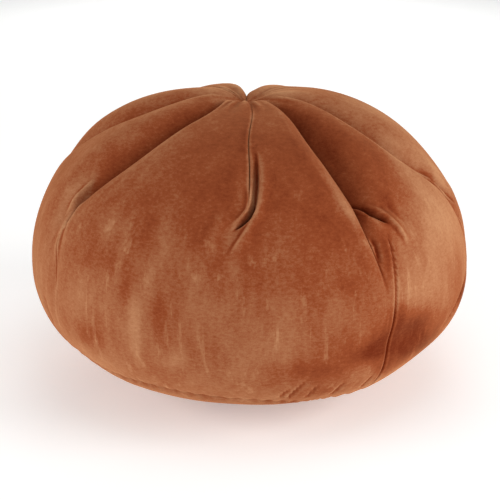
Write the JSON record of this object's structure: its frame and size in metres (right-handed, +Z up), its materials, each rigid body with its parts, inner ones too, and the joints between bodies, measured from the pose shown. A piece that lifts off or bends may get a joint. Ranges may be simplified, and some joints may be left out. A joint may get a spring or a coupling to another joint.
{
  "type": "bun cushion",
  "caption": "Round filled velvet bun cushion, pleated and gathered at its top over a sewn base panel, for sitting on or resting the feet.",
  "frame": {"origin": "centre of the flat underside of the base panel, on the surface that the cushion rests on", "axes": "+Z up through the gather at the top, -Y toward the front where the narrow double pleat is, +X to the right of the front"},
  "size_m": [0.4999, 0.4999, 0.319],
  "materials": {
    "velvet": "short crushed velvet pile, rust brown with a pale copper sheen at grazing angles"
  },
  "bodies": {
    "root": {"bun_body": "velvet", "base_panel": "velvet"}
  },
  "joints": []
}
